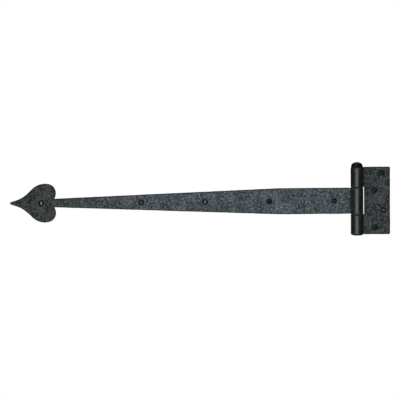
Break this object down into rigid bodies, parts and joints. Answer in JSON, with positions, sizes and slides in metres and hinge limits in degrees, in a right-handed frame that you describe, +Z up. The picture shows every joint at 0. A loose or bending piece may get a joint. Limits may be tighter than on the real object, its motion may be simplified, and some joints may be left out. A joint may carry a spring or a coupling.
{
  "type": "strap hinge",
  "caption": "Surface-mounted black iron strap hinge with a tapering strap, spear-heart finial, slotted frame leaf and captive pin.",
  "frame": {"origin": "centre of the frame leaf's back face, in the plane that both leaves' backs share", "axes": "+Y out of the backs into the frame and the door, +X from the pin towards the frame leaf's free edge with the strap towards -X, +Z up along the pin towards its domed head"},
  "size_m": [0.5729, 0.0463, 0.111],
  "materials": {
    "strap_iron": "black-coated rough forged iron, hammered surface, satin",
    "frame_iron": "black-coated rough forged iron, hammered surface, satin",
    "pin_iron": "smooth black coating, satin",
    "screw_steel": "black oxide, satin"
  },
  "bodies": {
    "frame": {"frame_leaf": "frame_iron", "hinge_pin": "pin_iron", "frame_screw_1": "screw_steel", "frame_screw_2": "screw_steel", "frame_screw_3": "screw_steel", "frame_screw_4": "screw_steel"},
    "strap": {"strap_leaf": "strap_iron", "strap_screw_1": "screw_steel", "strap_screw_2": "screw_steel", "strap_screw_3": "screw_steel", "strap_screw_4": "screw_steel", "strap_screw_5": "screw_steel"}
  },
  "joints": [
    {"name": "strap_swing", "type": "hinge", "parent": "frame", "child": "strap", "pos_m": [-0.03045, -0.00953, 0], "axis": [0, 0, 1], "range_deg": [-90, 180]}
  ]
}
